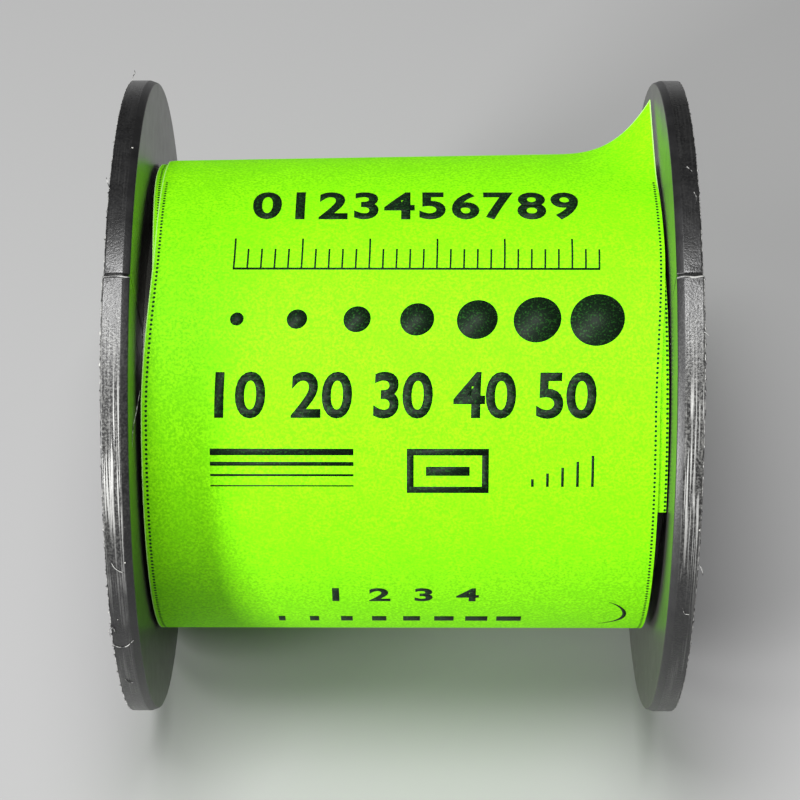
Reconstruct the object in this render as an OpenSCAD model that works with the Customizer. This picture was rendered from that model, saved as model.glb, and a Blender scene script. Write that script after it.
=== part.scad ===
// Spool of solder wire, wrapped in a strip of paper. Lengths in millimetres, angles in degrees.
// The spool's axis is the X axis and +Z is up. The origin is the centre of the spindle bore,
// and the spool lies on the rims of its flanges, which reach down to Z = -flange_d / 2.
// Angles round the axis start at the front, -Y, and grow towards the top, +Z.

/* [Spool] */
// Diameter of both flanges
flange_d = 50; // [46:1:60]
// Width over the outer faces of the flanges
spool_w = 43; // [36:1:60]
// Thickness of a flange
flange_t = 1.9; // [1.5:0.1:3]
// Rounding of a flange's inner rim edge
rim_round = 0.5; // [0.1:0.1:0.7]
// Rounding of a flange's outer rim edge
rim_edge = 0.15; // [0.05:0.05:0.7]
// Outer diameter of the drum that the wire is wound on
drum_d = 27.8; // [26:0.2:32]
// Thickness of the drum's wall
drum_wall = 1.5; // [1.2:0.1:2.2]
// Diameter of the spindle bore
bore_d = 12; // [8:0.5:13]
// Thickness of the hub's wall round the bore
hub_wall = 1.7; // [1.2:0.1:2.2]
// Chamfer at both mouths of the bore
bore_chamfer = 0.4; // [0.1:0.1:1]
// Thickness of the disc that carries the hub, half way along the drum
web_t = 2; // [1:0.1:4]
// Number of radial ribs on each side of that disc
rib_count = 6; // [3:1:8]
// Thickness of a rib
rib_t = 1.2; // [0.8:0.1:2]
// Distance from the outer face down to the ribs' edges
rib_drop = 1.2; // [0.4:0.1:4]
// Depth of the ring-shaped recess in each outer face
recess_t = 0.4; // [0.2:0.1:0.7]
// Width of the flat ring between that recess and the rim
recess_rim = 2.4; // [1.5:0.1:4]
// Width of the flat ring between that recess and the drum's mouth
recess_mouth = 3.2; // [2.5:0.1:5]

/* [Wire] */
// Diameter of the solder wire
wire_d = 1.5; // [1:0.1:2]
// Layers of turns on the drum
wire_layers = 3; // [2:1:3]
// Space between neighbouring turns of the outer layer
turn_gap = 0.25; // [0.25:0.05:1]
// Clearance between a wound piece and what it lies on
wind_gap = 0.05; // [0.02:0.01:0.1]
// Clearance of the anchor hole round the wire
anchor_gap = 0.3; // [0.2:0.05:0.6]
// Distance from the flange to the anchor hole
anchor_edge = 0.3; // [0.2:0.1:2]
// Bend radius of the wire's start, inside the drum
tail_bend = 1.8; // [1.6:0.1:3]
// Straight length of the wire's start past that bend
tail_l = 6; // [3:0.5:10]

/* [Label] */
// Space beside the paper strip at the left flange, where the inner end is
label_room = 1.05; // [0.8:0.05:9]
// Thickness of the paper
paper_t = 0.12; // [0.08:0.01:0.2]
// Space between the strip's two laps
lap_gap = 0.04; // [0.02:0.01:0.1]
// Space between the inner end's right edge and the flange
label_edge_gap = 0.3; // [0.1:0.05:0.5]
// Sideways wander of the strip in its first turn, which its loose end takes back
label_skew = 0.65; // [0:0.05:0.7]
// Angle of the strip's inner end
label_start = 22; // [0:1:60]
// Angle that the strip winds through
label_turn = 472; // [420:1:520]
// Height of the loose end above the winding, at its left edge
end_lift = 0.15; // [0:0.05:0.5]
// What the loose end rises by more, from there to its right edge
end_rise = 0.65; // [0:0.05:1]
// Height of the loose corner above the rest of the end
curl_h = 4.2; // [0:0.1:5]
// Angle over which the loose corner lifts off
curl_turn = 25; // [15:1:60]
// Width of the loose corner
curl_w = 8; // [6:0.5:20]

/* [Hidden] */
$fn = 96;
overlap = 0.5;

flange_r = flange_d / 2;
half_w = spool_w / 2;
inner_face = half_w - flange_t;
drum_r = drum_d / 2;
drum_in_r = drum_r - drum_wall;
bore_r = bore_d / 2;
hub_r = bore_r + hub_wall;

// the turns of one layer lie in the grooves of the layer below
nest_step = wire_d * sqrt(3) / 2;
core_in_r = drum_r + wind_gap;
outer_turn_r = core_in_r + wire_d / 2 + (wire_layers - 1) * nest_step;
loop_rings = 24;
loop_sides = 6;
// the middles of the outer layer's flat stretches lie this far inside its circle
core_out_r = outer_turn_r * cos(180 / loop_rings) - wire_d / 2 - wind_gap;
wire_pitch = wire_d + turn_gap;
outer_turns = floor((2 * inner_face - wire_d - 2 * wind_gap) / wire_pitch);
// the straight ends of the outer layer stand out a little beyond its circle
wound_r = norm([outer_turn_r, wire_d]) + wire_d / 2;
label_w = 2 * inner_face - label_room - label_edge_gap;

anchor_r = wire_d / 2 + anchor_gap;
anchor_x = -inner_face + anchor_edge + anchor_r;
// half way between two ribs
anchor_angle = 90 + 2.5 * 360 / rib_count;
tail_sides = 12;
tail_arc = 8;

label_step = 7.5;
label_in_r = (wound_r + wind_gap) / cos(label_step / 2);
lap_step = paper_t + lap_gap;
label_end = label_start + label_turn;
curl_start = label_end - curl_turn;
flat_columns = 2;
curl_columns = 6;
curl_rows = 8;
drift_turn = 45;

function around(x, r, angle) = [x, -r * cos(angle), r * sin(angle)];
function forward(angle) = [0, sin(angle), cos(angle)];
function unit(v) = v / norm(v);
function clamp01(t) = min(1, max(0, t));
function ease(t) = clamp01(t) ^ 2 * (3 - 2 * clamp01(t));
function four(a, b, c, d) = [[a, b, c], [a, c, d]];

// --- faceted tube ------------------------------------------------------------------------------
function heading(path, i) = unit(path[min(i + 1, len(path) - 1)] - path[max(i - 1, 0)]);

// corners round one centre point, the first of them on the side of "up"
function ring(centre, along, up, r, sides) =
    let (side = unit(cross(along, up)), lift = cross(side, along))
    [for (k = [0:sides - 1]) centre + r * (cos(360 * k / sides) * lift + sin(360 * k / sides) * side)];

function tube_rings(path, ups, r, sides) =
    [for (i = [0:len(path) - 1]) ring(path[i], heading(path, i), ups[i], r, sides)];

module tube(rings) {
    sides = len(rings[0]);
    last = (len(rings) - 1) * sides;
    walls = [for (i = [0:len(rings) - 2], k = [0:sides - 1])
        let (a = i * sides + k, b = i * sides + (k + 1) % sides)
        each four(a, a + sides, b + sides, b)];
    caps = [for (k = [1:sides - 2]) each [[0, k, k + 1], [last, last + k + 1, last + k]]];
    polyhedron(points = [for (one = rings) each one], faces = concat(walls, caps), convexity = 10);
}

// --- spool: one moulding, with flanges, drum, web, ribs and hub -----------------------------------
module flange_section() {
    translate([drum_in_r, 0]) square([flange_r - rim_round - drum_in_r, flange_t]);
    translate([drum_in_r, rim_round]) square([flange_r - rim_edge - drum_in_r, flange_t - rim_round]);
    translate([drum_in_r, rim_round])
        square([flange_r - drum_in_r, flange_t - rim_round - rim_edge]);
    translate([flange_r - rim_round, rim_round]) circle(r = rim_round);
    translate([flange_r - rim_edge, flange_t - rim_edge]) circle(r = rim_edge);
}

module hub_section() {
    polygon([
        [bore_r, -half_w + bore_chamfer], [bore_r + bore_chamfer, -half_w], [hub_r, -half_w],
        [hub_r, half_w], [bore_r + bore_chamfer, half_w], [bore_r, half_w - bore_chamfer]
    ]);
}

module spool_section() {
    difference() {
        union() {
            for (end = [0, 1]) mirror([0, end]) translate([0, inner_face]) flange_section();
            translate([drum_in_r, -half_w]) square([drum_wall, spool_w]);
            translate([bore_r + hub_wall / 2, -web_t / 2])
                square([drum_in_r + drum_wall / 2 - bore_r - hub_wall / 2, web_t]);
            hub_section();
        }
        for (end = [0, 1]) mirror([0, end]) translate([drum_in_r + recess_mouth, half_w - recess_t])
            square([flange_r - recess_rim - drum_in_r - recess_mouth, recess_t + overlap]);
    }
}

module rib() {
    translate([-half_w + rib_drop, -rib_t / 2, bore_r + hub_wall / 2])
        cube([spool_w - 2 * rib_drop, rib_t, drum_in_r + drum_wall / 2 - bore_r - hub_wall / 2]);
}

module spool() {
    color("#232426") difference() {
        union() {
            rotate([0, 90, 0]) rotate_extrude() spool_section();
            for (i = [0:rib_count - 1]) rotate([360 * i / rib_count, 0, 0]) rib();
        }
        translate([anchor_x, 0, 0]) rotate([90 - anchor_angle, 0, 0])
            translate([0, 0, drum_in_r - overlap])
            cylinder(r = anchor_r, h = drum_wall + 2 * overlap);
    }
}

// --- wire ----------------------------------------------------------------------------------------
// the buried turns, as one plain core
module wire_inner_layers() {
    color("#a9adb3") rotate([0, 90, 0]) rotate_extrude()
        translate([core_in_r, wind_gap - inner_face])
        square([core_out_r - core_in_r, 2 * (inner_face - wind_gap)]);
}

// a helix with a straight stretch of one diameter at both ends
outer_steps = outer_turns * loop_rings;
function outer_angle(i) = 360 * i / loop_rings;
function outer_point(i) =
    around(wire_pitch * (i - outer_steps / 2) / loop_rings, outer_turn_r, outer_angle(i));
outer_path = [
    outer_point(0) - wire_d * forward(outer_angle(0)),
    for (i = [0:outer_steps]) outer_point(i),
    outer_point(outer_steps) + wire_d * forward(outer_angle(outer_steps))
];
outer_ups = [
    around(0, 1, outer_angle(0)),
    for (i = [0:outer_steps]) around(0, 1, outer_angle(i)),
    around(0, 1, outer_angle(outer_steps))
];

// least distance between a ring's corners and those that lie one turn further on
function turn_distance(rings) = min([
    for (i = [0:len(rings) - loop_rings - 2], j = [loop_rings - 1:loop_rings + 1])
    for (a = rings[i], b = rings[i + j]) norm(a - b)]);

module wire_outer_layer() {
    rings = tube_rings(outer_path, outer_ups, wire_d / 2, loop_sides);
    echo(turns = outer_turns, least_gap_between_turns = turn_distance(rings));
    color("#c4c8cd") tube(rings);
}

// the first end of the wire, through the anchor hole and bent along the inside of the drum
module wire_start() {
    bend_r = drum_in_r - anchor_gap;
    path = [
        around(anchor_x, drum_r, anchor_angle),
        for (k = [0:tail_arc]) let (a = 90 * k / tail_arc)
            around(anchor_x + tail_bend * (1 - cos(a)), bend_r - tail_bend * sin(a), anchor_angle),
        around(anchor_x + tail_bend + tail_l, bend_r - tail_bend, anchor_angle)
    ];
    ups = [for (point = path) forward(anchor_angle)];
    color("#c4c8cd") tube(tube_rings(path, ups, wire_d / 2, tail_sides));
}

// --- label: a paper strip, wound more than once round the wire --------------------------------------
label_angles = [
    for (a = [label_start:label_step:curl_start - label_step / 4]) a,
    for (k = [0:curl_rows]) curl_start + curl_turn * k / curl_rows
];
// places across the strip, from its left edge, closer together on the loose corner
label_columns = [
    for (k = [0:flat_columns - 1]) (label_w - curl_w) * k / flat_columns,
    for (k = [0:curl_columns]) label_w - curl_w + curl_w * k / curl_columns
];

function label_left(angle) =
    let (wander = min(1, (angle - label_start) / 360))
    let (back = ease((angle - label_end + 2 * drift_turn) / drift_turn))
    label_room - inner_face - label_skew * (wander - back);
function label_lift(angle, s) =
    let (along = clamp01((angle - curl_start) / curl_turn) ^ 2)
    let (corner = clamp01((s - label_w + curl_w) / curl_w) ^ 3)
    along * (end_lift + end_rise * s / label_w + curl_h * corner);
function label_point(angle, s, depth) = around(
    label_left(angle) + s,
    label_in_r + lap_step * (angle - label_start) / 360 + label_lift(angle, s) + paper_t - depth,
    angle);

module label_strip() {
    m = len(label_columns);
    n = len(label_angles);
    points = [for (depth = [0, paper_t], a = label_angles, s = label_columns) label_point(a, s, depth)];
    under = m * n;
    sheets = [for (i = [0:n - 2], j = [0:m - 2]) let (a = i * m + j) each concat(
        four(a, a + m, a + m + 1, a + 1),
        four(under + a, under + a + 1, under + a + m + 1, under + a + m))];
    sides = [for (i = [0:n - 2]) let (l = i * m, r = i * m + m - 1) each concat(
        four(l, under + l, under + l + m, l + m),
        four(r, r + m, under + r + m, under + r))];
    ends = [for (j = [0:m - 2]) let (e = (n - 1) * m + j) each concat(
        four(j, j + 1, under + j + 1, under + j),
        four(e, under + e, under + e + 1, e + 1))];
    color("#b4e63c") polyhedron(points = points, faces = concat(sheets, sides, ends), convexity = 10);
}

spool();
wire_inner_layers();
wire_outer_layer();
wire_start();
label_strip();
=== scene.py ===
"""Spool of solder wire, wrapped in a strip of fluorescent paper.

The spool's axis is the X axis and +Z is up; the spool lies on the rims of its flanges.
Angles round the axis start at the front, -Y, and grow towards the top, +Z.
"""
import math

import bmesh
import bpy
import numpy as np
from mathutils import Matrix, Vector


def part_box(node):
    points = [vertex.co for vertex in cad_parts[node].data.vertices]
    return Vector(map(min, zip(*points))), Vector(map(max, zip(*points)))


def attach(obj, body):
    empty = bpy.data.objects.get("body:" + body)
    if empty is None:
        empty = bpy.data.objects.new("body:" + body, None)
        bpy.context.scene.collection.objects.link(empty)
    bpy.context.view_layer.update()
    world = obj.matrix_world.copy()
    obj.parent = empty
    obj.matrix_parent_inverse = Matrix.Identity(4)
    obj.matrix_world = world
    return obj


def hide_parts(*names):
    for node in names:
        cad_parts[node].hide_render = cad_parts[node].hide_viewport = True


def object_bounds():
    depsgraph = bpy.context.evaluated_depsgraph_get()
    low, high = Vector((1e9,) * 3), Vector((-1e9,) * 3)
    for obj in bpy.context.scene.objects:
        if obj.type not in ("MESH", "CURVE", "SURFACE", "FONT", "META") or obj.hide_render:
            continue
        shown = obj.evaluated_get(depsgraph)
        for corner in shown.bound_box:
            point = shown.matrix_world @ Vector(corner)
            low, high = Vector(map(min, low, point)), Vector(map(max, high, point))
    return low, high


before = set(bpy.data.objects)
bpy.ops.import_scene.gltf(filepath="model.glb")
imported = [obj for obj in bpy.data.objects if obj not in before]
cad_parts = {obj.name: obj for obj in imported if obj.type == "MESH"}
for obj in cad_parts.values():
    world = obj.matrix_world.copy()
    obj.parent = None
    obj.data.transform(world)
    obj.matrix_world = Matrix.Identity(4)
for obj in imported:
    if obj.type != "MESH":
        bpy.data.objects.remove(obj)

cad_low, cad_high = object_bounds()
mm = 0.001

# --- Camera ---------------------------------------------------------------------------------------
# Looks down on the front of the spool with a long lens, from half way between level and overhead.
camera_distance = 211.8 * mm
camera_elevation = math.radians(50)
camera_yaw = math.radians(0.5)
camera_roll = math.radians(-0.3)
camera_near = 10 * mm
lens_length = 119.4
film_width = 36
aim_shift = Vector((-0.40, -0.27, -0.22)) * mm

aim_point = (cad_low + cad_high) / 2 + aim_shift
view_back = Vector((
    math.sin(camera_yaw) * math.cos(camera_elevation),
    -math.cos(camera_yaw) * math.cos(camera_elevation),
    math.sin(camera_elevation),
))
camera = bpy.data.objects.new("camera", bpy.data.cameras.new("camera"))
bpy.context.scene.collection.objects.link(camera)
camera.data.sensor_width = film_width
camera.data.lens = lens_length
camera.data.clip_start = camera_near
camera.location = aim_point + camera_distance * view_back
camera.rotation_euler = (
    view_back.to_track_quat("Z", "Y").to_matrix() @ Matrix.Rotation(camera_roll, 3, "Z")
).to_euler()
bpy.context.scene.camera = camera
bpy.context.scene.view_settings.view_transform = "Standard"

# --- Studio ---------------------------------------------------------------------------------------
# A pale matt table top. A soft overhead light does most of the work; a low one on the front left
# reaches the underside and throws the left flange's shadow; a small one glints on the rims.
floor_half = 900 * mm
floor_grey = 0.36
floor_rough = 0.8
surround_grey = 0.035
# where each lamp stands, its two sides in metres, and its power; all face the origin
lights = {
    "overhead": {"place": (-0.03, -0.07, 0.45), "size": (0.20, 0.20), "watts": 2.6},
    "low": {"place": (-0.31, -0.28, 0.12), "size": (0.10, 0.14), "watts": 2.0},
    "side": {"place": (-0.26, -0.21, 0.26), "size": (0.07, 0.07), "watts": 0.3},
}


def new_material(name):
    """A new material with node tree; gives the material, the tree and its Principled shader."""
    material = bpy.data.materials.new(name)
    material.use_nodes = True
    tree = material.node_tree
    return material, tree, tree.nodes["Principled BSDF"]


floor_mesh = bpy.data.meshes.new("table_top")
floor_corners = np.array([(-1, -1), (1, -1), (1, 1), (-1, 1)]) * floor_half
floor_mesh.from_pydata([(x, y, cad_low.z) for x, y in floor_corners], [], [(0, 1, 2, 3)])
floor = bpy.data.objects.new("table_top", floor_mesh)
bpy.context.scene.collection.objects.link(floor)
floor_material, _, floor_shader = new_material("table_top")
floor_shader.inputs["Base Color"].default_value = (floor_grey,) * 3 + (1,)
floor_shader.inputs["Roughness"].default_value = floor_rough
floor_mesh.materials.append(floor_material)

world = bpy.data.worlds.new("surround")
world.use_nodes = True
world.node_tree.nodes["Background"].inputs["Color"].default_value = (surround_grey,) * 3 + (1,)
bpy.context.scene.world = world

for name, light in lights.items():
    lamp = bpy.data.objects.new(name, bpy.data.lights.new(name, "AREA"))
    bpy.context.scene.collection.objects.link(lamp)
    lamp.data.shape = "RECTANGLE"
    lamp.data.size, lamp.data.size_y = light["size"]
    lamp.data.energy = light["watts"]
    lamp.location = light["place"]
    lamp.rotation_euler = Vector(light["place"]).to_track_quat("Z", "Y").to_euler()

# --- Spool ----------------------------------------------------------------------------------------
# One injection moulding in black matt plastic: two flanges, the drum between them, and the hub
# inside it on a web and six ribs. The halves of the mould meet in a line across both rims.
_, spool_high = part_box("spool")
flange_r = spool_high.z
half_w = spool_high.x
flange_t = 1.9 * mm
inner_face = half_w - flange_t
drum_r = 13.9 * mm
drum_in_r = 12.4 * mm
bore_r = 6 * mm
hub_r = 7.7 * mm
bore_chamfer = 0.4 * mm
web_half = 1 * mm
recess_t = 0.4 * mm
recess_in_r = 15.6 * mm
recess_out_r = 22.6 * mm
rib_count = 6
rib_t = 1.2 * mm
rib_drop = 1.2 * mm
rib_sink = 0.3 * mm
rib_round = 0.25 * mm
rim_edge = 0.15 * mm
bevel_w = 0.52 * mm
bevel_drop = 0.2 * mm
corner_steps = 5
anchor_r = 1.05 * mm
anchor_x = -18.25 * mm
anchor_angle = math.radians(240)
anchor_sides = 32
anchor_margin = 0.5 * mm

# how the flanges left the mould: thicker towards the rim, and leaning inwards
rim_swell = 0.09 * mm
left_bow = 0.08 * mm
right_bow = 0.25 * mm
bow_angle = math.radians(50)

# the parting line: a ridge beside a groove, then the step down to the half behind them
parting_angle = math.radians(69.9)
seam_sway = 0.05 * mm
seam_wave = 0.23 * mm
ridge_ahead = 0.09 * mm
ridge_w = 0.07 * mm
ridge_h = 0.06 * mm
groove_behind = 0.07 * mm
groove_w = 0.09 * mm
groove_depth = 0.14 * mm
groove_notch = 0.12 * mm
step_w = 0.1 * mm
step_depth = 0.03 * mm
step_at_face = 0.08 * mm


def smooth_step(t):
    """0 below 0, 1 above 1, and 3 t^2 - 2 t^3 between."""
    t = np.clip(t, 0, 1)
    return t * t * (3 - 2 * t)


def around(x, r, angle):
    """Points at x along the axis, r from it, at an angle from the front: (x, -r cos a, r sin a)."""
    return np.stack(np.broadcast_arrays(x, -r * np.cos(angle), r * np.sin(angle)), axis=-1)


def rounded_outline(corners, radii, steps):
    """A closed outline through the corners, each turned on an arc of its own radius r.

    With h half the inner angle, the arc's centre lies r / sin h along the corner's bisector and
    its ends lie r / tan h along the sides; between them the arc is a spherical interpolation."""
    corners, radii = np.array(corners), np.array(radii)[:, None]
    back = np.roll(corners, 1, axis=0) - corners
    ahead = np.roll(corners, -1, axis=0) - corners
    back /= np.linalg.norm(back, axis=1, keepdims=True)
    ahead /= np.linalg.norm(ahead, axis=1, keepdims=True)
    half = np.arccos(np.clip((back * ahead).sum(1, keepdims=True), -1, 1)) / 2
    bisector = (back + ahead) / np.linalg.norm(back + ahead, axis=1, keepdims=True)
    centre = corners + bisector * radii / np.sin(half)
    start = corners + back * radii / np.tan(half) - centre
    end = corners + ahead * radii / np.tan(half) - centre
    turn = np.pi - 2 * half
    t = np.linspace(0, 1, steps)[:, None, None]
    arcs = centre + (np.sin((1 - t) * turn) * start + np.sin(t * turn) * end) / np.sin(turn)
    return arcs.transpose(1, 0, 2).reshape(-1, 2)


def grid_faces(rows, columns, closed_rows=False, closed_columns=False):
    """Quads of a grid of points, row after row. A closed direction joins its last line to its
    first. Faces look along (next column) x (next row)."""
    i = np.arange(rows if closed_rows else rows - 1)[:, None]
    j = np.arange(columns if closed_columns else columns - 1)[None, :]
    i2, j2 = (i + 1) % rows, (j + 1) % columns
    corners = (i * columns + j, i * columns + j2, i2 * columns + j2, i2 * columns + j)
    return np.stack([np.broadcast_to(c, (i.size, j.size)) for c in corners], -1).reshape(-1, 4)


def new_piece(name, points, faces):
    """A smooth-shaded object with that mesh, at the origin."""
    mesh = bpy.data.meshes.new(name)
    mesh.from_pydata(np.reshape(points, (-1, 3)).tolist(), [], [list(map(int, f)) for f in faces])
    mesh.shade_smooth()
    made = bpy.data.objects.new(name, mesh)
    bpy.context.scene.collection.objects.link(made)
    return made


def apply_modifiers(piece):
    """Puts the mesh that the piece's modifiers make in the place of its own."""
    graph = bpy.context.evaluated_depsgraph_get()
    mesh = bpy.data.meshes.new_from_object(piece.evaluated_get(graph))
    piece.modifiers.clear()
    old, piece.data = piece.data, mesh
    mesh.name = piece.name
    bpy.data.meshes.remove(old)


def join_shape(piece, tool, operation):
    """Adds the tool's shape to the piece's or cuts it out, and removes the tool."""
    change = piece.modifiers.new(operation, "BOOLEAN")
    change.operation = operation
    change.solver = "EXACT"
    change.object = tool
    apply_modifiers(piece)
    bpy.data.objects.remove(tool)


def spool_outline():
    """Half of the section (x, r, rounding) from the bore's mouth to the drum's foot, mirrored.

    The rim is a flat land beside a shallow bevel on the inner side."""
    half = np.array([
        (half_w - bore_chamfer, bore_r, 0.1 * mm),
        (half_w, bore_r + bore_chamfer, 0.1 * mm),
        (half_w, hub_r, 0.2 * mm),
        (web_half, hub_r, 0.4 * mm),
        (web_half, drum_in_r, 0.4 * mm),
        (half_w, drum_in_r, 0.3 * mm),
        (half_w, recess_in_r, 0.1 * mm),
        (half_w - recess_t, recess_in_r, 0.15 * mm),
        (half_w - recess_t, recess_out_r, 0.15 * mm),
        (half_w, recess_out_r, 0.1 * mm),
        (half_w, flange_r, rim_edge),
        (inner_face + bevel_w, flange_r, 0.15 * mm),
        (inner_face, flange_r - bevel_drop, 0.15 * mm),
        (inner_face, drum_r, 0.04 * mm),
    ])
    whole = np.concatenate([half, half[::-1] * (-1, 1, 1)])
    return rounded_outline(whole[:, :2], whole[:, 2], corner_steps)


def flange_bow(side, out, angle):
    """How far a flange leans inwards: its bow * out^2 * (1 - sin(angle - bow_angle)), where out
    is 0 at the drum and 1 at the rim. The right flange is warped more."""
    bow = np.where(side < 0, left_bow, right_bow)
    return bow * out ** 2 * (1 - np.sin(angle - bow_angle))


def seam_distance(x, angle):
    """How far a point of the rim lies behind the parting line: flange_r * sin(angle -
    parting_angle), which is 0 at two places opposite each other, plus a sway of sin(x /
    seam_wave) across the rim."""
    return flange_r * np.sin(angle - parting_angle) + seam_sway * np.sin(x / seam_wave)


def as_moulded(x, r, angle):
    """The section's points as the mould leaves them.

    With s the distance behind the parting line, the ridge and the groove are exp(-(s / width)^2)
    each. The groove also notches the inner edge, and the half behind them is a little thinner.
    All of it fades out within a millimetre of the rim or of the outer face."""
    side = np.sign(x)
    s = seam_distance(x, angle)
    ridge = np.exp(-((s + ridge_ahead) / ridge_w) ** 2)
    groove = np.exp(-((s - groove_behind) / groove_w) ** 2)
    behind = smooth_step(s / step_w + 0.5)
    on_rim = smooth_step((r - flange_r + 0.9 * mm) / (0.5 * mm))
    on_outer_face = smooth_step((np.abs(x) - half_w + 0.8 * mm) / (0.6 * mm))
    on_inner_edge = on_rim * (1 - smooth_step((np.abs(x) - inner_face) / bevel_w))

    out = np.clip((r - drum_r) / (flange_r - drum_r), 0, 1)
    x = x - side * rim_swell * out ** 2 * np.clip((half_w - np.abs(x)) / flange_t, 0, 1)
    thinned = step_at_face * behind * on_outer_face * smooth_step(out * 2)
    x = x - side * (flange_bow(side, out, angle) + thinned)
    x = x + side * groove_notch * groove * on_inner_edge
    r = r + on_rim * (ridge_h * ridge - groove_depth * groove - step_depth * behind)
    return x, r


def tube_faces(rings, sides, inside_out=False):
    """Faces of a closed tube: quads from ring to ring, and a cap at both ends."""
    caps = [range(sides - 1, -1, -1), range((rings - 1) * sides, rings * sides)]
    faces = grid_faces(rings, sides, closed_columns=True).tolist() + [list(cap) for cap in caps]
    return [face[::-1] for face in faces] if inside_out else faces


def rib_shape(angle):
    """A rib: a rounded rectangle (x, across) at two heights up a ray at the angle a, in the wall
    of the hub and in the drum's: (x, -up cos a - across sin a, up sin a - across cos a)."""
    long = half_w - rib_drop
    wide = rib_t / 2
    corners = [(-long, -wide), (long, -wide), (long, wide), (-long, wide)]
    flat = rounded_outline(corners, [rib_round] * 4, corner_steps)
    levels = np.array([hub_r - rib_sink, drum_in_r + rib_sink])
    x, across, up = np.broadcast_arrays(flat[:, 0], flat[:, 1], levels[:, None])
    y = -up * np.cos(angle) - across * np.sin(angle)
    z = up * np.sin(angle) - across * np.cos(angle)
    return np.stack([x, y, z], -1), tube_faces(2, len(flat), inside_out=True)


# one section of the spool to a degree, and twelve to one where the parting line crosses the rims
whole_degrees = np.arange(0, 360, 1.0)
at_crossings = math.degrees(parting_angle) + np.array([[0], [180]]) + np.linspace(-1, 1, 25)
all_degrees = np.unique(np.round(np.concatenate([whole_degrees, at_crossings.ravel()]), 3))
spool_angles = np.radians(all_degrees)
section = spool_outline()
section_x, section_r = as_moulded(section[None, :, 0], section[None, :, 1], spool_angles[:, None])
spool = new_piece(
    "spool_moulding",
    around(section_x, section_r, spool_angles[:, None]),
    grid_faces(len(spool_angles), len(section), closed_rows=True, closed_columns=True),
)
for i in range(rib_count):
    rib = new_piece("rib", *rib_shape(math.radians(90 - 360 * i / rib_count)))
    join_shape(spool, rib, "UNION")

hole_turn = np.linspace(0, 2 * np.pi, anchor_sides, endpoint=False)
hole_levels = np.array([drum_in_r - anchor_margin, drum_r + anchor_margin])[:, None]
hole_points = around(
    anchor_x + anchor_r * np.cos(hole_turn),
    hole_levels,
    anchor_angle + anchor_r * np.sin(hole_turn) / hole_levels,
)
hole = new_piece("hole", hole_points, tube_faces(2, anchor_sides))
hole_check = bmesh.new()
hole_check.from_mesh(hole.data)
bmesh.ops.recalc_face_normals(hole_check, faces=hole_check.faces)
hole_check.to_mesh(hole.data)
hole_check.free()
join_shape(spool, hole, "DIFFERENCE")
spool.data.shade_smooth()
spool.data.set_sharp_from_angle(angle=math.radians(38))

# how far each point lay from the middle plane before the flanges swelled and leaned
spool_points = np.empty(3 * len(spool.data.vertices))
spool.data.vertices.foreach_get("co", spool_points)
spool_x, spool_y, spool_z = spool_points.reshape(-1, 3).T
spool_out = np.clip((np.hypot(spool_y, spool_z) - drum_r) / (flange_r - drum_r), 0, 1)
spool_bow = flange_bow(np.sign(spool_x), spool_out, np.arctan2(spool_z, -spool_y))
unbent = np.abs(spool_x) + spool_bow
unbent += rim_swell * spool_out ** 2 * np.clip((half_w - unbent) / flange_t, 0, 1)
spool.data.attributes.new("unbent", "FLOAT", "POINT").data.foreach_set("value", unbent.astype(np.float32))
weigh = spool.modifiers.new("weigh_normals", "WEIGHTED_NORMAL")
weigh.keep_sharp = True


def node(tree, kind, inputs=None, **settings):
    """A new shader node. Each input is a value, or another node's output to link to it."""
    made = tree.nodes.new(kind)
    for name, value in settings.items():
        setattr(made, name, value)
    for name, value in (inputs or {}).items():
        if isinstance(value, bpy.types.NodeSocket):
            tree.links.new(value, made.inputs[name])
        else:
            made.inputs[name].default_value = value
    return made


def maths(tree, operation, *values):
    """The output of a Math node: operation on values, each a number or an output."""
    return node(tree, "ShaderNodeMath", dict(enumerate(values)), operation=operation).outputs[0]


def product(tree, first, *others):
    """The output of several values multiplied together."""
    for value in others:
        first = maths(tree, "MULTIPLY", first, value)
    return first


def weighted_sum(tree, start, *terms):
    """The output of start plus each term, which is a value and its weight."""
    for value, weight in terms:
        start = maths(tree, "ADD", start, maths(tree, "MULTIPLY", value, weight))
    return start


def ramp(tree, value, low, high, to_low=0.0, to_high=1.0):
    """The output of a smooth step: to_low up to low, to_high from high on."""
    inputs = {"Value": value, "From Min": low, "From Max": high, "To Min": to_low, "To Max": to_high}
    made = node(tree, "ShaderNodeMapRange", inputs, interpolation_type="SMOOTHSTEP")
    return made.outputs["Result"]


def blend_colours(tree, share, first, second):
    """The output of a colour mix: first where share is 0, second where it is 1. Sockets 0, 6 and
    7 of a Mix node are its share and its two colours, and output 2 is the mixed colour."""
    inputs = {0: share, 6: first, 7: second}
    return node(tree, "ShaderNodeMix", inputs, data_type="RGBA").outputs[2]


def new_group(name, inputs, outputs):
    """An empty shader node group with those float inputs and those outputs, and its two ends."""
    tree = bpy.data.node_groups.new(name, "ShaderNodeTree")
    for label, value in inputs.items():
        tree.interface.new_socket(label, in_out="INPUT", socket_type="NodeSocketFloat").default_value = value
    for label in outputs:
        tree.interface.new_socket(label, in_out="OUTPUT", socket_type="NodeSocketFloat")
    return tree, tree.nodes.new("NodeGroupInput").outputs, tree.nodes.new("NodeGroupOutput").inputs


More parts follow.
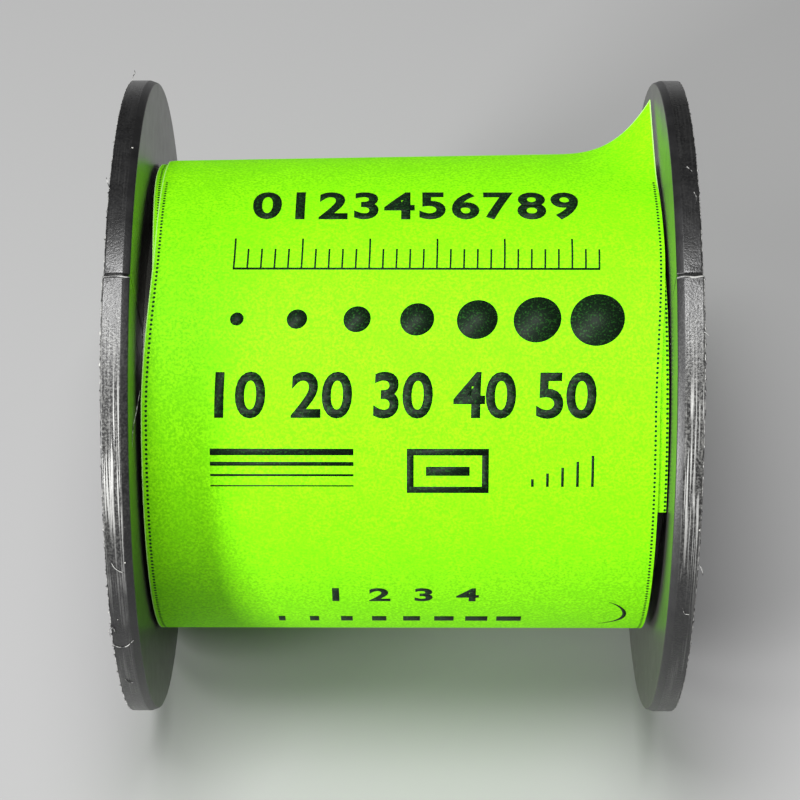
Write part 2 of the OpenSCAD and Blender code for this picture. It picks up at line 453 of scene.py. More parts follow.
# where a point lies on the spool: along the axis, away from it and round it, in metres
round_tree, _, round_out = new_group("place_round_the_axis", {}, ["Along", "Radius", "Round"])
place = node(round_tree, "ShaderNodeTexCoord").outputs["Object"]
x, y, z = node(round_tree, "ShaderNodeSeparateXYZ", {0: place}).outputs
axis_r = maths(round_tree, "SQRT", weighted_sum(round_tree, product(round_tree, y, y), (z, z)))
turn = maths(round_tree, "ARCTAN2", z, product(round_tree, y, -1.0))
round_tree.links.new(x, round_out["Along"])
round_tree.links.new(axis_r, round_out["Radius"])
round_tree.links.new(product(round_tree, turn, flange_r), round_out["Round"])

# an even fine grain, as of a spark-eroded mould or of paper fibres
grain_tree, grain_in, grain_out = new_group("fine_grain", {"Size": 0.2 * mm}, ["Grain"])
grain_noise = node(grain_tree, "ShaderNodeTexNoise", {
    "Vector": node(grain_tree, "ShaderNodeTexCoord").outputs["Object"],
    "Scale": maths(grain_tree, "DIVIDE", 1.0, grain_in["Size"]),
    "Detail": 3.0,
    "Roughness": 0.6,
})
grain_tree.links.new(grain_noise.outputs[0], grain_out["Grain"])

# loose specks of dust: one in some of the cells of an uneven lattice
dust_tree, dust_in, dust_out = new_group(
    "dust_specks", {"Spacing": 1.2 * mm, "Size": 0.06, "Share": 0.3}, ["Specks"])
dust_cells = node(dust_tree, "ShaderNodeTexVoronoi", {
    "Vector": node(dust_tree, "ShaderNodeTexCoord").outputs["Object"],
    "Scale": maths(dust_tree, "DIVIDE", 1.0, dust_in["Spacing"]),
})
dust_random = node(dust_tree, "ShaderNodeSeparateColor", {0: dust_cells.outputs["Color"]}).outputs
dust_size = product(dust_tree, dust_in["Size"], maths(dust_tree, "ADD", dust_random[1], 0.35))
dust_near = maths(dust_tree, "LESS_THAN", dust_cells.outputs["Distance"], dust_size)
dust_there = maths(dust_tree, "LESS_THAN", dust_random[0], dust_in["Share"])
dust_tree.links.new(product(dust_tree, dust_near, dust_there), dust_out["Specks"])


def use_group(tree, group, **inputs):
    """A group placed in a material with its own values; gives its outputs."""
    return node(tree, "ShaderNodeGroup", inputs, node_tree=group).outputs


def stretched_noise(tree, along, around_axis, along_size, round_size):
    """Noise in streaks round the axis: its features are along_size by round_size."""
    vector = node(tree, "ShaderNodeCombineXYZ", {
        0: maths(tree, "DIVIDE", along, along_size),
        1: maths(tree, "DIVIDE", around_axis, round_size),
    }).outputs[0]
    return node(tree, "ShaderNodeTexNoise", {"Vector": vector, "Scale": 1.0, "Detail": 2.0}).outputs[0]


def add_bump(tree, shader, height, strength, depth):
    """Bump on the shader: a height of 1 stands that depth off the surface."""
    inputs = {"Height": height, "Strength": strength, "Distance": depth}
    tree.links.new(node(tree, "ShaderNodeBump", inputs).outputs[0], shader.inputs["Normal"])


# painted highlight: the rims' lands are paler between these distances round them, from the front up,
# where the lamps' highlight falls; each pair of values is where the paleness fades in or out
highlight_from = (5 * mm, 18 * mm)
highlight_to = (25 * mm, 31 * mm)
streak_glint_to = (20 * mm, 24 * mm)
streak_shift = 7 * mm
black = (0.007, 0.007, 0.0075, 1)
greyed_black = (0.012, 0.012, 0.0125, 1)
face_black = (0.05, 0.05, 0.044, 1)
# painted highlight: the lands' grain and streaks take these greys only where the highlight falls
highlight_grain_grey = (0.20, 0.20, 0.19, 1)
streak_wear_and_glint_grey = (0.60, 0.60, 0.58, 1)
seam_grey = (0.50, 0.50, 0.48, 1)
dust_grey = (0.62, 0.61, 0.57, 1)


def black_plastic():
    """Black plastic. The rims' lands are grainy and scuffed in streaks, mostly in front, and smoother
    behind the parting line, whose ridge is pale. In a band round the front of the rims, where the lamps'
    highlight falls, the grain and the streaks are painted paler: a painted highlight. The flanges'
    inner faces are smooth, and a little pale dust lies everywhere."""
    material, tree, shader = new_material("black_plastic")
    where = use_group(tree, round_tree)
    beside = node(tree, "ShaderNodeAttribute", attribute_name="unbent").outputs["Fac"]
    grain = use_group(tree, grain_tree, Size=0.17 * mm)["Grain"]
    coarse = use_group(tree, grain_tree, Size=1.6 * mm)["Grain"]
    dust = use_group(tree, dust_tree, Spacing=1.0 * mm, Size=0.06, Share=0.2)["Specks"]

    # the rim's land, its bevelled inner edge, and the flange's inner face
    land_side = inner_face + bevel_w
    past_bevel = ramp(tree, beside, land_side - 0.02 * mm, land_side + 0.08 * mm)
    on_rim = ramp(tree, where["Radius"], flange_r - 0.5 * mm, flange_r - 0.1 * mm)
    on_land = product(tree, on_rim, past_bevel)
    on_edge = maths(tree, "SUBTRACT", on_rim, on_land)
    on_face = ramp(tree, beside, inner_face, inner_face + 0.04 * mm, 1.0, 0.0)

    # scuffed streaks, with another stretch of the same noise on the right rim
    on_right = maths(tree, "GREATER_THAN", where["Along"], 0.0)
    across = weighted_sum(tree, beside, (on_right, streak_shift))
    streaks = stretched_noise(tree, across, where["Round"], 0.13 * mm, 9 * mm)
    scuffs = stretched_noise(tree, across, where["Round"], 1.4 * mm, 7 * mm)
    # the band round the front of the rims where the highlight falls; the paleness in it is painted highlight
    highlight_band = product(tree, ramp(tree, where["Round"], *highlight_from, 0.08, 1.0),
                   ramp(tree, where["Round"], *highlight_to, 1.0, 0.08))
    streak_glint_band = product(tree, highlight_band, ramp(tree, where["Round"], *streak_glint_to, 1.0, 0.2))
    streak_wear_and_glint = product(tree, ramp(tree, streaks, 0.49, 0.59), ramp(tree, scuffs, 0.38, 0.52),
                     streak_glint_band, on_land)

    # the parting line's ridge, and the land behind it; y sin + z cos is the distance behind it
    spot = node(tree, "ShaderNodeTexCoord").outputs["Object"]
    x, y, z = node(tree, "ShaderNodeSeparateXYZ", {0: spot}).outputs
    sway = product(tree, maths(tree, "SINE", maths(tree, "DIVIDE", x, seam_wave)), seam_sway)
    behind = product(tree, y, math.sin(parting_angle))
    behind = maths(tree, "ADD", weighted_sum(tree, behind, (z, math.cos(parting_angle))), sway)
    on_back = product(tree, ramp(tree, behind, 0.0, step_w), on_land)
    from_ridge = maths(tree, "ABSOLUTE", maths(tree, "ADD", behind, ridge_ahead))
    ridge = ramp(tree, from_ridge, 0.03 * mm, 0.075 * mm, 0.75, 0.0)
    ridge = product(tree, ridge, on_rim, ramp(tree, coarse, 0.38, 0.5, 0.3, 1.0))

    # painted highlight: a paler grain on the land, and a quarter as much on its bevel, inside that band
    highlight_on_rim = product(tree, highlight_band, weighted_sum(tree, on_land, (on_edge, 0.25)))
    highlight_speckle = product(tree, ramp(tree, grain, 0.4, 0.66, 0.08, 1.0), highlight_on_rim)
    tone = blend_colours(tree, ramp(tree, coarse, 0.3, 0.7), black, greyed_black)
    for share, colour in (
        (product(tree, highlight_speckle, 0.7), highlight_grain_grey),
        (on_face, face_black),
        (product(tree, streak_wear_and_glint, 0.85), streak_wear_and_glint_grey),
        (ridge, seam_grey),
        (dust, dust_grey),
    ):
        tone = blend_colours(tree, share, tone, colour)
    tree.links.new(tone, shader.inputs["Base Color"])

    gloss = weighted_sum(
        tree, 0.33, (coarse, 0.12), (on_face, -0.06), (on_land, -0.06), (on_back, -0.05), (dust, 0.3))
    tree.links.new(gloss, shader.inputs["Roughness"])
    shader.inputs["Specular IOR Level"].default_value = 0.6

    uneven = weighted_sum(tree, 0.12, (on_land, 0.9), (on_back, -0.5), (on_edge, 0.4))
    height = weighted_sum(tree, product(tree, grain, uneven), (streak_wear_and_glint, 0.6), (dust, 0.8))
    add_bump(tree, shader, height, 0.9, 0.035 * mm)
    return material


plastic = black_plastic()
spool.data.materials.clear()
spool.data.materials.append(plastic)
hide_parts("spool")
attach(spool, "root")

# --- Moulding flash -------------------------------------------------------------------------------
# The thin ragged fin that the mould leaves along the outer edge of both rims, and stray threads of
# plastic on and beside the rims. It is the spool's own plastic, gone pale where it is thin.
flash_steps = 2400
fin_root = 0.05 * mm
fin_reach = 0.09 * mm
fin_sunk = 0.002 * mm
fin_tip_drop = 0.04 * mm
stray_r = 0.035 * mm
stray_steps = 8
stray_sides = 6
thin_black = (0.03, 0.03, 0.03, 1)
thin_grey = (0.50, 0.50, 0.48, 1)
# (x in mm, height over the rim in mm, angle in degrees) along each stray thread
strays = (
    ((-21.42, 0.02, 3.0), (-21.1, 0.07, 2.4), (-20.7, 0.03, 2.1), (-20.3, 0.07, 2.6), (-19.8, 0.02, 4.0)),
    ((-21.45, 0.02, 5.0), (-21.55, 0.10, 6.6), (-21.2, 0.13, 7.4), (-21.05, 0.05, 5.8)),
    ((-21.0, 0.02, 21.6), (-20.75, 0.06, 20.4), (-20.4, 0.05, 19.6), (-20.1, 0.02, 19.3)),
    ((-21.4, -0.05, 131.5), (-21.45, 0.25, 133.0), (-21.3, 0.55, 133.6), (-21.33, 0.75, 133.2)),
    ((-21.3, 0.02, 86.5), (-21.5, 0.06, 88.0), (-21.62, 0.05, 89.0)),
    ((-19.22, -6.25, 51.0), (-19.36, -5.0, 46.5), (-19.45, -3.6, 43.5), (-19.5, -2.9, 39.0)),
    ((-20.9, 0.02, -8.5), (-20.6, 0.06, -9.4), (-20.35, 0.03, -9.8)),
    ((20.95, 0.02, 61.4), (21.15, 0.07, 60.4), (21.35, 0.10, 60.0), (21.5, 0.06, 59.7)),
    ((20.55, 0.02, 91.8), (20.8, 0.07, 90.8), (21.0, 0.03, 90.5)),
    ((20.9, 0.02, 86.0), (21.05, 0.06, 84.6), (20.95, 0.03, 83.4)),
    ((21.15, 0.02, 21.0), (21.35, 0.08, 20.2), (21.46, 0.05, 19.0)),
    ((20.2, 0.02, 12.0), (20.35, 0.06, 10.9), (20.7, 0.03, 10.6)),
)


def wave_noise(angle, counts, seed):
    """The mean of sine waves round the rim, one for each count, with seeded phases."""
    phases = np.random.default_rng(seed).uniform(0, 2 * np.pi, len(counts))
    waves = np.sin(np.multiply.outer(angle, counts) + phases)
    return waves.sum(-1) / len(counts)


def flash_fin(side):
    """A fin round the outer edge of a rim: a ring with three corners, two rooted in the edge and
    one that stands off along the axis. It stands off by the square of a sum of waves, 2 to 560
    to the turn, and further on the left."""
    angle = np.linspace(0, 2 * np.pi, flash_steps, endpoint=False)
    slow = wave_noise(angle, np.array([2, 5, 9, 14]), seed=3 + side)
    quick = wave_noise(angle, np.array([83, 131, 197, 263, 349, 431, 560]), seed=7 + side)
    high = (0.8 - 0.2 * side) * np.clip(0.35 + 0.5 * slow + 1.3 * quick, 0.1, 1.2) ** 2
    face = half_w - flange_bow(side, 1, angle)
    behind = smooth_step(flange_r * np.sin(angle - parting_angle) / step_w + 0.5)
    face = face - step_at_face * behind
    rim = flange_r - step_depth * behind
    corners = (
        (face - fin_root, rim - 0.9 * fin_root),
        (face - fin_root, rim - fin_sunk),
        (face + fin_reach * (high - 0.3), rim - fin_tip_drop),
    )
    points = np.stack([around(side * x, r, angle) for x, r in corners], 1)
    faces = grid_faces(flash_steps, 3, closed_rows=True, closed_columns=True)
    return points.reshape(-1, 3), (faces if side > 0 else faces[:, ::-1]).tolist()


def smooth_path(points, steps):
    """A Catmull-Rom curve through the points: between b and c, with a before and d after, it is
    (2b + (c - a) t + (2a - 5b + 4c - d) t^2 + (3b - a - 3c + d) t^3) / 2. The points before the
    first and after the last mirror the second and the last but one."""
    points = np.array(points)
    points = np.concatenate([2 * points[:1] - points[1:2], points, 2 * points[-1:] - points[-2:-1]])
    a, b, c, d = (points[k:len(points) - 3 + k, None] for k in range(4))
    t = np.linspace(0, 1, steps, endpoint=False)[None, :, None]
    square = 2 * a - 5 * b + 4 * c - d
    cube = 3 * b - a - 3 * c + d
    curve = (2 * b + (c - a) * t + square * t ** 2 + cube * t ** 3) / 2
    return np.concatenate([curve.reshape(-1, 3), points[-2:-1]])


def swept_tube(path, ups, radius, sides, shares=None):
    """A tube along the path: each ring is path + high cos a * lift + wide sin a * across, where
    lift is near "up" and across is square to it and to the path. shares gives each ring's high
    and wide as shares of the radius."""
    ahead = np.gradient(path, axis=0)
    ahead /= np.linalg.norm(ahead, axis=1, keepdims=True)
    across = np.cross(ahead, ups)
    across /= np.linalg.norm(across, axis=1, keepdims=True)
    lift = np.cross(across, ahead)
    turn = np.linspace(0, 2 * np.pi, sides, endpoint=False)[None, :, None]
    shares = np.ones((len(path), 2)) if shares is None else shares
    high, wide = (radius * shares[:, k, None, None] for k in (0, 1))
    rings = path[:, None] + high * np.cos(turn) * lift[:, None] + wide * np.sin(turn) * across[:, None]
    return rings.reshape(-1, 3), tube_faces(len(path), sides)


def joined(shapes):
    """One list of points and one of faces from several."""
    starts = np.cumsum([0] + [len(points) for points, _ in shapes])
    faces = [[int(k + start) for k in face] for start, (_, made) in zip(starts, shapes) for face in made]
    return np.concatenate([points for points, _ in shapes]), faces


def stray_shape(points):
    """A plastic thread: a curved tube that tapers to its ends as 0.3 + 0.7 sin(pi t)."""
    along = smooth_path(points, stray_steps)
    path = around(along[:, 0] * mm, flange_r + along[:, 1] * mm, np.radians(along[:, 2]))
    taper = np.sin(np.linspace(0.1, 0.9, len(path)) * np.pi)[:, None] * np.ones(2)
    ups = np.tile([0.1, -0.6, 0.77], (len(path), 1))
    return swept_tube(path, ups, stray_r, stray_sides, 0.3 + 0.7 * taper)


flash = new_piece("rim_flash", *joined([flash_fin(side) for side in (-1, 1)]))
stray = new_piece("stray_threads", *joined([stray_shape(points) for points in strays]))


def pale_plastic():
    """The same plastic where it is paper thin: grey to white and a little shiny."""
    material, tree, shader = new_material("pale_plastic")
    grain = use_group(tree, grain_tree, Size=0.5 * mm)["Grain"]
    tone = blend_colours(tree, ramp(tree, grain, 0.42, 0.6), thin_black, thin_grey)
    tree.links.new(tone, shader.inputs["Base Color"])
    shader.inputs["Roughness"].default_value = 0.35
    return material


thin_plastic = pale_plastic()
for piece in (flash, stray):
    piece.data.materials.append(thin_plastic)
    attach(piece, "root")

# --- Wire -----------------------------------------------------------------------------------------
# Solid tin and lead wire, drawn to 1.5 mm and wound in three nested layers, nearly edge to edge.
# Its first end goes in through a hole in the drum and is bent over; side cutters nipped the tip.
wire_r = 0.75 * mm
layer_step = 1.35 * mm
layer_play = 0.05 * mm
first_layer_r = drum_r + layer_play + wire_r
turn_pitch = 1.56 * mm
turn_wander = 0.02 * mm
layer_turns = (22, 21, 22)
# points to a turn and sides of the wire, where it is buried and where it can be seen
buried_steps = 48
buried_sides = 8
shown_steps = 96
shown_sides = 14
# painted shade: both solder greys are darker than bare solder, for the shaded gaps where it shows
solder_dark = (0.24, 0.245, 0.255, 1)
solder_light = (0.38, 0.385, 0.39, 1)


def layer_path(layer, steps):
    """One layer's centreline, and which way is up along it: a helix, x = pitch * t after t turns,
    with each turn off its place by turn_wander * sin(1.9 t + layer) * sin(0.7 t)."""
    turns = layer_turns[layer]
    t = np.linspace(-turns / 2, turns / 2, turns * steps + 1)
    wander = turn_wander * np.sin(1.9 * t + layer) * np.sin(0.7 * t)
    angle = 2 * np.pi * (t + layer / 2)
    path = around(turn_pitch * t + wander, first_layer_r + layer * layer_step, angle)
    return path, around(0, 1, angle)


def solder():
    """Drawn solder: dull grey metal with fine lines along the wire and cloudy oxide. Its greys are
    darker than bare solder, as painted shade for the deep gaps beside the label where the wire shows.
    """
    material, tree, shader = new_material("solder")
    where = use_group(tree, round_tree)
    clouds = use_group(tree, grain_tree, Size=2.2 * mm)["Grain"]
    lines = stretched_noise(tree, where["Along"], where["Round"], 0.04 * mm, 3.0 * mm)
    tone = blend_colours(tree, ramp(tree, clouds, 0.35, 0.65), solder_dark, solder_light)
    tree.links.new(tone, shader.inputs["Base Color"])
    shader.inputs["Metallic"].default_value = 1.0
    tree.links.new(weighted_sum(tree, 0.33, (clouds, 0.3)), shader.inputs["Roughness"])
    add_bump(tree, shader, lines, 0.5, 0.01 * mm)
    return material


solder_metal = solder()
inner_tubes = [
    swept_tube(*layer_path(layer, buried_steps), wire_r, buried_sides) for layer in (0, 1)]
outer_tube = swept_tube(*layer_path(2, shown_steps), wire_r, shown_sides)
inner_layers = new_piece("wire_inner_turns", *joined(inner_tubes))
outer_layer = new_piece("wire_outer_turns", *outer_tube)

# the wire's first end: through the hole, round a bend and along the inside of the drum
tail_bend = 1.8 * mm
tail_length = 6 * mm
bend_r = drum_in_r - 0.3 * mm
nip_length = 1.1 * mm
nip_thin = 0.08
nip_wide = 1.22
hole_steps = 8
bend_steps = 24
length_steps = 40
tail_sides = 20
tail_turn = np.linspace(0, np.pi / 2, bend_steps)
tail_x = np.concatenate([
    np.full(hole_steps, anchor_x),
    anchor_x + tail_bend * (1 - np.cos(tail_turn)),
    anchor_x + tail_bend + tail_length * np.linspace(0.04, 1, length_steps),
])
tail_r = np.concatenate([
    np.linspace(drum_r, bend_r + 0.1 * mm, hole_steps),
    bend_r - tail_bend * np.sin(tail_turn),
    np.full(length_steps, bend_r - tail_bend),
])
tail_path = around(tail_x, tail_r, anchor_angle)
tail_ups = np.tile([0, math.sin(anchor_angle), math.cos(anchor_angle)], (len(tail_path), 1))
past_bend = tail_r <= bend_r - tail_bend + 0.01 * mm
whole = np.where(past_bend, smooth_step((tail_x.max() - tail_x) / nip_length + 0.03), 1.0)
nipped = np.stack([nip_thin + (1 - nip_thin) * whole, nip_wide - (nip_wide - 1) * whole], -1)
wire_start = new_piece("wire_tail", *swept_tube(tail_path, tail_ups, wire_r, tail_sides, nipped))
for piece, node_name in ((inner_layers, "wire_inner_layers"), (outer_layer, "wire_outer_layer"),
                         (wire_start, "wire_start")):
    piece.data.materials.append(solder_metal)
    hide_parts(node_name)
    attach(piece, "root")

# --- Label strip ----------------------------------------------------------------------------------
# A strip of paper 38 mm wide, fluorescent green on its face and white inside, wound one and a
# third times round the wire. It slips a little to the left soon after its start, and the right
# corner of its end has come unstuck and stands off.
label_room = 1.05 * mm
label_edge_gap = 0.3 * mm
label_w = 2 * inner_face - label_room - label_edge_gap
paper_t = 0.12 * mm
lap_step = 0.16 * mm
label_in_r = 18.202 * mm
label_skew = 0.65 * mm
corner_r = 1.3 * mm
curl_h = 4.2 * mm
curl_w = 8 * mm
end_lift = 0.15 * mm
end_rise = 0.65 * mm
# angles along the strip, in degrees from the front up
label_start = 22
label_end = 494
slip_start = 68
slip_turn = 55
back_turn = 45
curl_turn = 25
curl_start = label_end - curl_turn
border_end = 472
pale_edge_from = border_end - 9
# the dotted lines, and the pale lines along the cut edges, partly bruised paper, partly painted highlight
dot_pitch = 0.353 * mm
dot_r = 0.105 * mm
left_inset = 0.36 * mm
right_insets = (0.1 * mm, 0.3 * mm)
pale_edge_w = 0.10 * mm
# rows and columns of the paper's mesh
row_turn = 1.25
curl_rows = 33
flat_columns = 24
curl_columns = 29


def label_left(angle):
    """Left edge of the strip: it slips off by label_skew in a smooth step soon after its start,
    and its loose end takes that back in another."""
    wander = smooth_step((angle - slip_start) / slip_turn)
    back = smooth_step((angle - label_end + 2 * back_turn) / back_turn)
    return label_room - inner_face - label_skew * (wander - back)


def label_lift(angle, s):
    """Height of the loose end: the square of the way along it, times what it rises by there. That
    is end_lift, end_rise times the share of the width, and curl_h times the cube of the way into
    the corner."""
    along = np.clip((angle - curl_start) / curl_turn, 0, 1) ** 2
    corner = np.clip((s - label_w + curl_w) / curl_w, 0, 1) ** 3
    return along * (end_lift + end_rise * s / label_w + curl_h * corner)


def label_point(angle, s, height):
    """Points of the strip: angle degrees along it, s from its left edge, height over its back. The
    left corner of its end is rounded: the edge draws back by corner_r - sqrt(corner_r^2 - in^2),
    where in is how far a point lies inside the last corner_r of the strip's length."""
    r = label_in_r + lap_step * (angle - label_start) / 360 + label_lift(angle, s) + height
    inside = np.clip(corner_r - label_in_r * np.radians(label_end - angle), 0, corner_r)
    drawn_back = corner_r - np.sqrt(corner_r ** 2 - inside ** 2)
    return around(label_left(angle) + s + drawn_back * (1 - s / label_w), r, np.radians(angle))


def strip_length(angle):
    """Distance along the strip from its inner end, on the mean radius of the turns so far."""
    turns = (angle - label_start) / 360
    return (label_in_r + lap_step * turns / 2) * 2 * np.pi * turns


rows = np.concatenate([np.arange(label_start, curl_start - row_turn / 2, row_turn),
                       np.linspace(curl_start, label_end, curl_rows)])
columns = np.concatenate([np.linspace(0, label_w - curl_w, flat_columns)[:-1],
                          np.linspace(label_w - curl_w, label_w, curl_columns)])
angle_grid, across_grid = np.meshgrid(rows, columns, indexing="ij")
count = angle_grid.size
m, n = len(columns), len(rows)
paper_points = np.concatenate([
    label_point(angle_grid, across_grid, height).reshape(-1, 3) for height in (paper_t, 0)])
face_side = grid_faces(n, m)
back_side = face_side[:, ::-1] + count
rim_line = np.concatenate([
    np.arange(0, m),
    np.arange(1, n) * m + m - 1,
    (n - 1) * m + np.arange(m - 2, -1, -1),
    np.arange(n - 2, 0, -1) * m,
])
rim_next = np.roll(rim_line, -1)
cut_side = np.stack([rim_line + count, rim_next + count, rim_next, rim_line], -1)
label = new_piece("label_paper_strip", paper_points, np.concatenate([face_side, back_side, cut_side]))
label.data.polygons.foreach_set(
    "material_index", np.repeat([0, 1], [len(face_side), len(back_side) + len(cut_side)]))
strip_place = label.data.attributes.new("strip_place", "FLOAT_VECTOR", "POINT")
places = np.stack([strip_length(angle_grid), across_grid, 0 * across_grid], -1).reshape(-1, 3)
strip_place.data.foreach_set("vector", np.tile(places, (2, 1)).astype(np.float32).ravel())
label.data.set_sharp_from_angle(angle=math.radians(50))


green_dark = (0.165, 0.66, 0.001, 1)
green_bright = (0.295, 0.93, 0.003, 1)
green_dull = (0.185, 0.74, 0.001, 1)
# pale line along the cut edges: partly bruised paper, partly a painted highlight
pale_edge_green = (0.70, 0.92, 0.42, 1)
dot_ink = (0.002, 0.035, 0.006, 1)
back_dark = (0.50, 0.68, 0.28, 1)
back_light = (0.70, 0.82, 0.48, 1)


def border_dots(tree, along, across):
    """1 on the dotted lines printed inside the strip's two long edges, up to border_end. A dot
    stands in the middle of each pitch, so its distance is hypot(distance to the line, distance
    along it from that middle). The right line leaves the cut edge a little on its way."""
    length = float(strip_length(border_end))
    step = maths(tree, "FRACT", maths(tree, "DIVIDE", along, dot_pitch))
    step = product(tree, maths(tree, "SUBTRACT", step, 0.5), dot_pitch)
    left = maths(tree, "SUBTRACT", across, left_inset)
    right = maths(tree, "SUBTRACT", maths(tree, "SUBTRACT", label_w, across),
                  ramp(tree, along, 0.0, length * 0.9, *right_insets))
    off = maths(tree, "MINIMUM", maths(tree, "ABSOLUTE", left), maths(tree, "ABSOLUTE", right))
    near = maths(tree, "SQRT", weighted_sum(tree, product(tree, step, step), (off, off)))
    dots = ramp(tree, near, 0.8 * dot_r, 1.15 * dot_r, 1.0, 0.0)
    return product(tree, dots, maths(tree, "LESS_THAN", along, length))


def pale_edge_line(tree, along, across):
    """1 on the pale lines along the cut edges, fading inwards over their width: the left one, the end,
    and the right one near the strip's loose end. The lines are partly bruised paper and partly a
    painted highlight where these edges catch the light."""
    spared = ramp(tree, along, float(strip_length(pale_edge_from)), float(strip_length(border_end)),
                  pale_edge_w, 0.0)
    from_right = maths(tree, "ADD", maths(tree, "SUBTRACT", label_w, across), spared)
    inward = maths(tree, "MINIMUM", across, from_right)
    to_end = maths(tree, "SUBTRACT", float(strip_length(label_end)), along)
    return ramp(tree, maths(tree, "MINIMUM", inward, to_end), 0.03 * mm, pale_edge_w, 1.0, 0.0)


def green_paper():
    """The strip's printed face: fluorescent green with a fine fleck, dotted lines, and a pale line along
    the cut edges, partly bruised paper and partly a painted highlight. A faint glow in its own colour is
    painted light for its fluorescence."""
    material, tree, shader = new_material("green_paper")
    place = node(tree, "ShaderNodeAttribute", attribute_name="strip_place").outputs["Vector"]
    along, across, _ = node(tree, "ShaderNodeSeparateXYZ", {0: place}).outputs
    fine = use_group(tree, grain_tree, Size=0.2 * mm)["Grain"]
    mottle = use_group(tree, grain_tree, Size=2.2 * mm)["Grain"]
    tone = blend_colours(tree, ramp(tree, fine, 0.32, 0.68), green_dark, green_bright)
    for share, colour in (
        (product(tree, ramp(tree, mottle, 0.3, 0.6, 1.0, 0.0), 0.4), green_dull),
        # partly a painted highlight: the pale line along the cut edges
        (product(tree, pale_edge_line(tree, along, across), 0.5), pale_edge_green),
        (border_dots(tree, along, across), dot_ink),
    ):
        tone = blend_colours(tree, share, tone, colour)
    tree.links.new(tone, shader.inputs["Base Color"])
    # painted light: the paper glows faintly in its own colour, for its fluorescence
    tree.links.new(tone, shader.inputs["Emission Color"])
    shader.inputs["Emission Strength"].default_value = 0.03
    shader.inputs["Roughness"].default_value = 0.7
    shader.inputs["Specular IOR Level"].default_value = 0.12
    add_bump(tree, shader, weighted_sum(tree, fine, (mottle, 1.5)), 0.3, 0.03 * mm)
    return material


def white_paper():
    """The strip's back and cut edges: bare white paper with a trace of green from the face."""
    material, tree, shader = new_material("white_paper")
    fine = use_group(tree, grain_tree, Size=0.2 * mm)["Grain"]
    tone = blend_colours(tree, ramp(tree, fine, 0.35, 0.65), back_dark, back_light)
    tree.links.new(tone, shader.inputs["Base Color"])
    shader.inputs["Roughness"].default_value = 0.8
    add_bump(tree, shader, fine, 0.4, 0.02 * mm)
    return material


label.data.materials.append(green_paper())
label.data.materials.append(white_paper())
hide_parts("label_strip")
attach(label, "root")

# --- Print on the strip ---------------------------------------------------------------------------
# A plain measuring chart in dark green ink: numbers, a ruler, a row of growing discs, bars and a
# frame. Each mark is a flat shape in millimetres, (distance from the strip's left edge, distance
# up from its row's angle), that is bent round the strip and stands a few microns off the paper.
ink_base = 0.004 * mm
ink_t = 0.010 * mm
bend_step = 0.4
tick_half = 0.07
ruler_t = 0.18
swash_points = 33
disc_corners = 48
ink_dark = (0.002, 0.010, 0.003, 1)
ink_worn = (0.012, 0.075, 0.008, 1)


def bar(left, bottom, right, top):
    """A rectangle."""
    return [(left, bottom), (right, bottom), (right, top), (left, top)], [(0, 1, 2, 3)]


def disc(centre, middle, radius):
    """A round disc: (centre + radius cos a, middle + radius sin a)."""
    turn = np.linspace(0, 2 * np.pi, disc_corners, endpoint=False)
    points = np.stack([centre + radius * np.cos(turn), middle + radius * np.sin(turn)], -1)
    return points.tolist(), [tuple(range(disc_corners))]


def frame_mark(left, bottom, right, top, line):
    """A rectangular frame: four bars."""
    return joined([
        bar(left, bottom, right, bottom + line),
        bar(left, top - line, right, top),
        bar(left, bottom + line, left + line, top - line),
        bar(right - line, bottom + line, right, top - line),
    ])


def swash(centre, middle, radius, start, end, wide):
    """A thin arc that tapers to both ends: half width = wide / 2 * sin(pi t)."""
    t = np.linspace(0, 1, swash_points)
    turn = np.radians(start + (end - start) * t)
    half = wide / 2 * np.sin(np.pi * t) + 0.01
    reach = np.stack([radius + half, radius - half])
    points = np.stack([centre + reach * np.cos(turn), middle + reach * np.sin(turn)], -1)
    return points.reshape(-1, 2).tolist(), grid_faces(2, swash_points)[:, ::-1].tolist()


def number(text, centre, bottom, height, weight, widen=1.0):
    """A number as a flat mesh: digits of that height, thickened by weight, centred."""
    curve = bpy.data.curves.new("number", "FONT")
    curve.body = text
    curve.offset = weight
    curve.resolution_u = 5
    made = bpy.data.objects.new("number", curve)
    bpy.context.scene.collection.objects.link(made)
    bpy.context.view_layer.update()
    mesh = bpy.data.meshes.new_from_object(made.evaluated_get(bpy.context.evaluated_depsgraph_get()))
    points = np.array([v.co[:2] for v in mesh.vertices])
    faces = [tuple(f.vertices) for f in mesh.polygons]
    bpy.data.objects.remove(made)
    bpy.data.meshes.remove(mesh)
    bpy.data.curves.remove(curve)
    low, high = points.min(0), points.max(0)
    scale = height / (high[1] - low[1])
    points = (points - [(low[0] + high[0]) / 2, low[1]]) * scale * (widen, 1) + (centre, bottom)
    return points.tolist(), faces


def row_of_numbers(texts, first, last, bottom, height, weight, widen=1.0):
    """Numbers at even distances from the first centre to the last."""
    places = np.linspace(first, last, len(texts))
    return [number(text, place, bottom, height, weight, widen) for text, place in zip(texts, places)]


def ruler(first, last, bottom, low, high):
    """A line with a tick each millimetre, and a long one at each fifth."""
    line = bar(first - tick_half, bottom - ruler_t, last + tick_half, bottom)
    ticks = [bar(first + k - tick_half, bottom, first + k + tick_half, low if k % 5 else high)
             for k in range(int(last - first) + 1)]
    return [line] + ticks


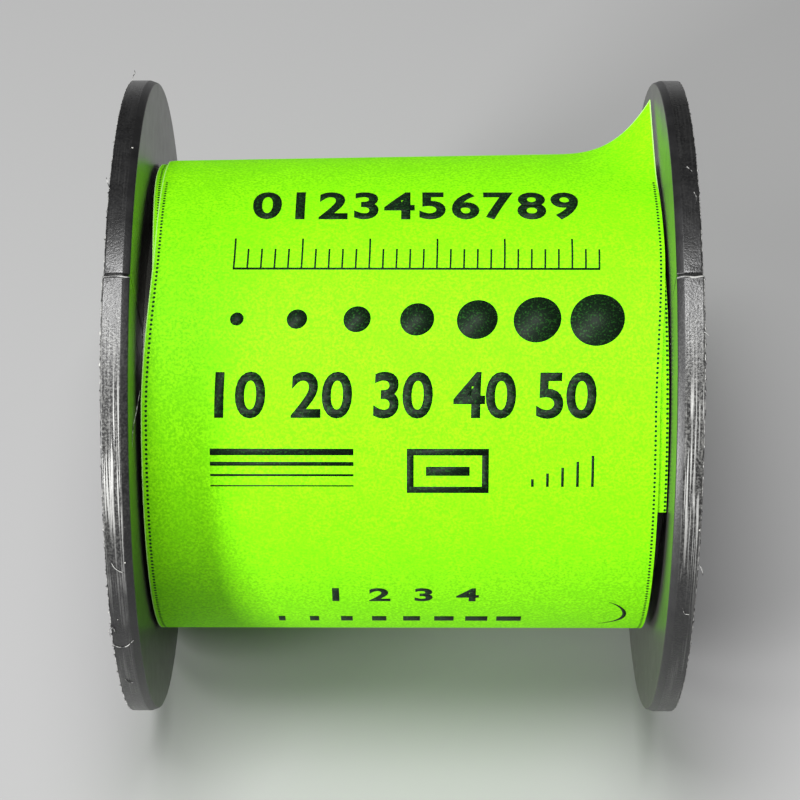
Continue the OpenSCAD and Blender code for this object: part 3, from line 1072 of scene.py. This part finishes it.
# (the row's angle along the strip in degrees, its marks)
chart = (
    (101, row_of_numbers("0123456789", 8.2, 30.6, -1.8, 3.5, 0.03, 0.95)),
    (84, ruler(6, 33, -1.1, 0.6, 1.6)),
    (67.5, [disc(6.6 + 4.4 * k, 0, 0.5 + 0.25 * k) for k in range(7)]),
    (50, row_of_numbers(("10", "20", "30", "40", "50"), 7.2, 31.0, -1.7, 3.4, 0.025)),
    (32.5, [bar(5, -1.2 + 0.8 * k, 15.5, -1.1 + 0.84 * k + 0.06 * k * k / 2) for k in range(4)]
     + [frame_mark(19.4, -1.7, 25.4, 1.7, 0.5), bar(20.8, -0.35, 24.0, 0.35)]
     + [bar(28.5 + 1.1 * k, -1.2, 28.7 + 1.1 * k, -0.6 + 0.45 * k) for k in range(5)]),
    (-5, row_of_numbers("1234", 14.0, 24.0, -0.95, 1.9, 0.03, 1.3)),
    (-19, [bar(9.5 + 2.4 * k, -0.6, 9.5 + 2.4 * k + 0.5 + 0.2 * k, 0.6) for k in range(8)]),
    (-14, [swash(33.5, -0.45, 2.6, -75, 60, 0.28)]),
)


def bent_mark(row_angle, points, faces):
    """A mark of the chart as a closed solid on the strip.

    It is cut into bands of bend_step round the strip, then a point (s, v) goes to the angle
    row_angle + v / radius, on the strip's outer lap, which is a turn further on."""
    flat = bmesh.new()
    corners = [flat.verts.new((x, y, 0)) for x, y in points]
    for face in faces:
        flat.faces.new([corners[k] for k in face])
    bottom = min(y for _, y in points)
    for k in range(1, int((max(y for _, y in points) - bottom) / bend_step) + 1):
        cut = (0, bottom + k * bend_step, 0)
        everything = flat.verts[:] + flat.edges[:] + flat.faces[:]
        bmesh.ops.bisect_plane(flat, geom=everything, plane_co=cut, plane_no=(0, 1, 0), dist=1e-5)
    flat.verts.index_update()
    sheet = np.array([v.co[:2] for v in flat.verts]) * mm
    upper = [[v.index for v in f.verts] for f in flat.faces]
    owners = [e.link_loops[0] for e in flat.edges if e.is_boundary]
    walls = [(loop.vert.index, loop.link_loop_next.vert.index) for loop in owners]
    flat.free()
    n = len(sheet)
    angle = row_angle + 360 + np.degrees(sheet[:, 1] / (label_in_r + lap_step))
    levels = (ink_base + ink_t, ink_base)
    solid = np.concatenate([label_point(angle, sheet[:, 0], paper_t + level) for level in levels])
    lower = [[k + n for k in reversed(face)] for face in upper]
    return solid, upper + lower + [[b, a, a + n, b + n] for a, b in walls]


def chart_ink():
    """Dark green toner, with fine specks where it wears through to the paper's green."""
    material, tree, shader = new_material("chart_ink")
    fine = use_group(tree, grain_tree, Size=0.16 * mm)["Grain"]
    tone = blend_colours(tree, ramp(tree, fine, 0.5, 0.7), ink_dark, ink_worn)
    tree.links.new(tone, shader.inputs["Base Color"])
    shader.inputs["Roughness"].default_value = 0.6
    shader.inputs["Specular IOR Level"].default_value = 0.2
    return material


marks = [bent_mark(angle, *mark) for angle, row in chart for mark in row]
label_print = new_piece("label_print", *joined(marks))
label_print.data.materials.append(chart_ink())
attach(label_print, "root")
